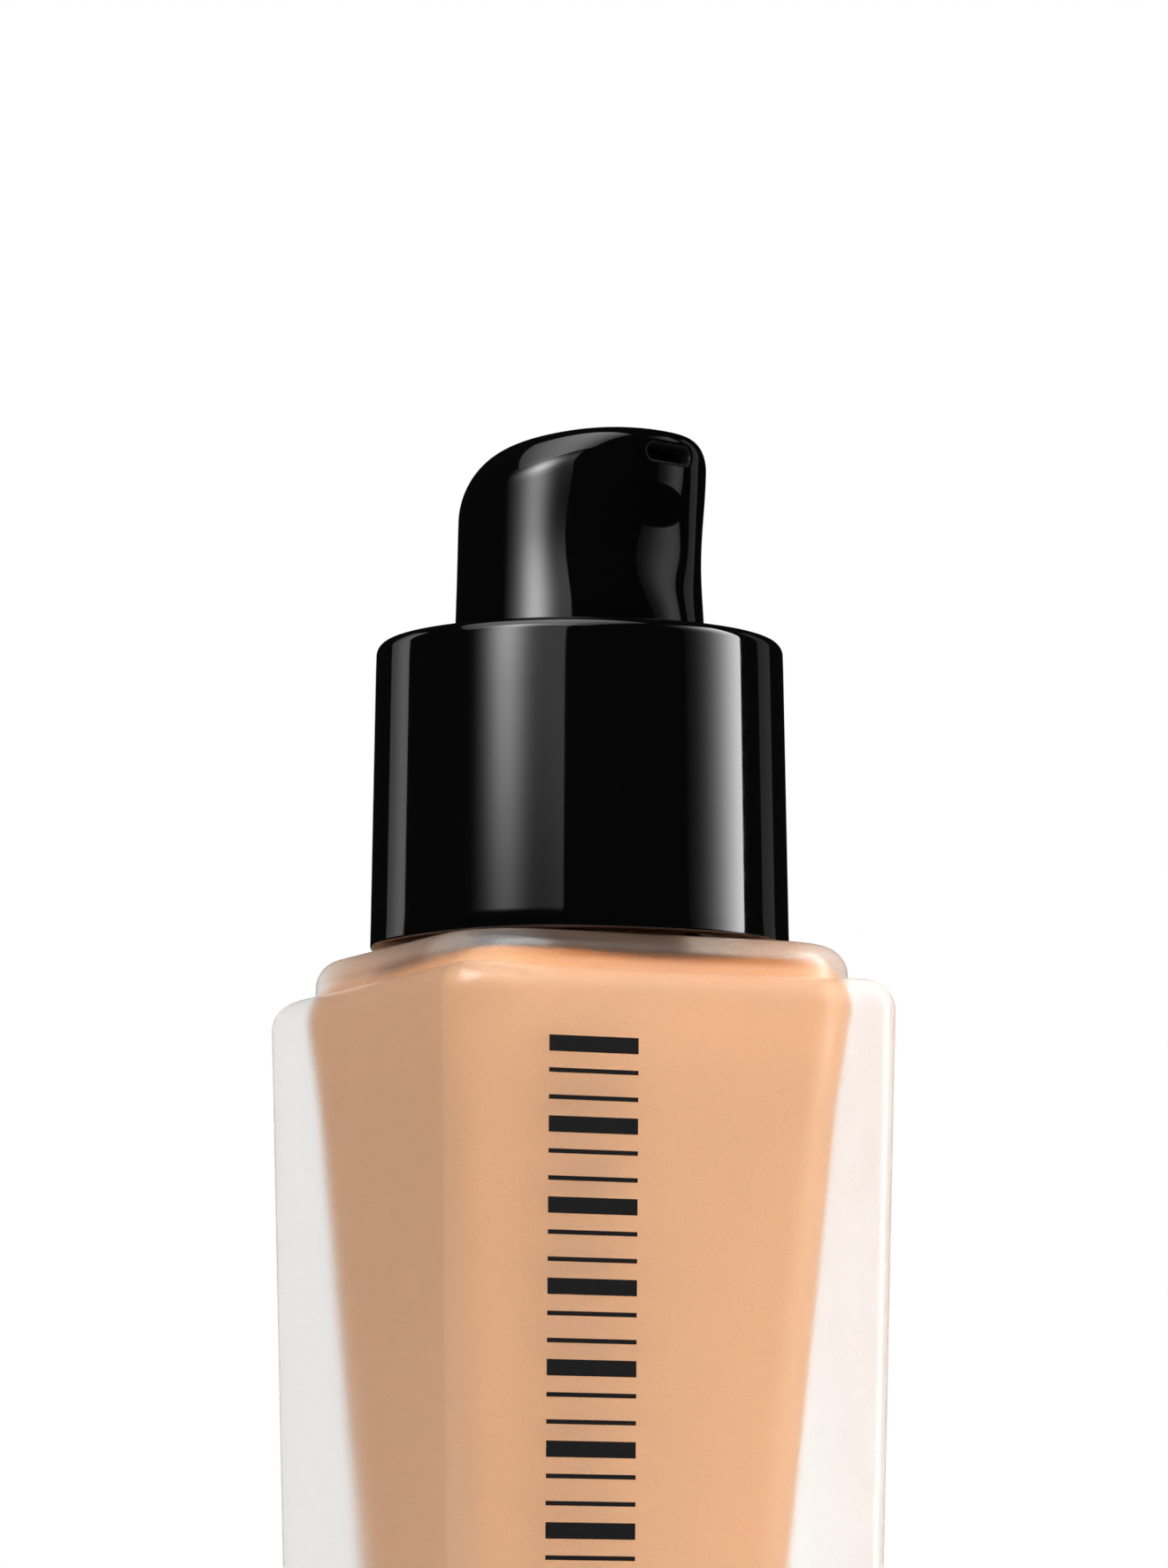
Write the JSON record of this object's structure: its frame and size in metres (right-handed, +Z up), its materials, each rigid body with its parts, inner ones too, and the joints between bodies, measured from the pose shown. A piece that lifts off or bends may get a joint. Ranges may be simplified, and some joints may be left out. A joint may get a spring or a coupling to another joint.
{
  "type": "foundation bottle",
  "caption": "Square frosted glass bottle of liquid foundation with a round gloss black screw-on collar and a press-down pump head with a slot spout.",
  "frame": {"origin": "centre of the base, on the surface the bottle stands on", "axes": "+Z up along the bottle and pump axis, -Y out of the printed face, +X to the right of that face; the spout points 21.5 degrees from -Y towards +X at rest"},
  "size_m": [0.0354, 0.0354, 0.1123],
  "materials": {
    "frosted_glass": "acid-frosted outside, clear inside",
    "foundation": "creamy liquid",
    "gloss_black": "high gloss",
    "inner_black": "moulded satin",
    "natural_plastic": "natural moulded",
    "tube_plastic": "extruded, translucent",
    "soft_seal": "soft elastomer",
    "steel": "drawn and polished"
  },
  "bodies": {
    "bottle": {"bottle_glass": "frosted_glass", "foundation_liquid": "foundation"},
    "pump": {"neck_gasket": "soft_seal", "pump_housing": "natural_plastic", "dip_tube": "tube_plastic", "ball_cage": "natural_plastic", "stem_guide": "natural_plastic", "guide_seal": "soft_seal"},
    "closure": {"screw_closure": "inner_black", "collar_liner": "inner_black", "collar_shell": "gloss_black"},
    "plunger": {"stem": "natural_plastic", "piston_core": "natural_plastic", "return_spring": "steel"},
    "sliding_piston": {"piston": "soft_seal"},
    "head": {"actuator_shell": "gloss_black", "nozzle_insert": "inner_black", "actuator_core": "inner_black"},
    "ball": {"inlet_ball": "steel"}
  },
  "joints": [
    {"name": "pump_lift", "type": "slide", "parent": "bottle", "child": "pump", "axis": [0, 0, 1], "range_m": [0, 0.0045]},
    {"name": "closure_unscrew", "type": "hinge", "parent": "pump", "child": "closure", "pos_m": [0, 0, 0.08], "axis": [0, 0, 1], "range_deg": [0, 540]},
    {"name": "actuator_press", "type": "slide", "parent": "pump", "child": "plunger", "axis": [0, 0, -1], "range_m": [0, 0.0045], "stiffness_N_per_m": 600, "springref_m": -0.008, "deforming": ["return_spring"]},
    {"name": "piston_float", "type": "slide", "parent": "plunger", "child": "sliding_piston", "axis": [0, 0, 1], "range_m": [0, 0.0008]},
    {"name": "head_swivel", "type": "hinge", "parent": "plunger", "child": "head", "pos_m": [0, 0, 0.1], "axis": [0, 0, 1], "continuous": true},
    {"name": "ball_lift", "type": "slide", "parent": "pump", "child": "ball", "axis": [0, 0, 1], "range_m": [0, 0.0008]}
  ],
  "couplings": [
    {"joint": "pump_lift", "follows": "closure_unscrew", "m_per_rad": 0.00047746}
  ]
}
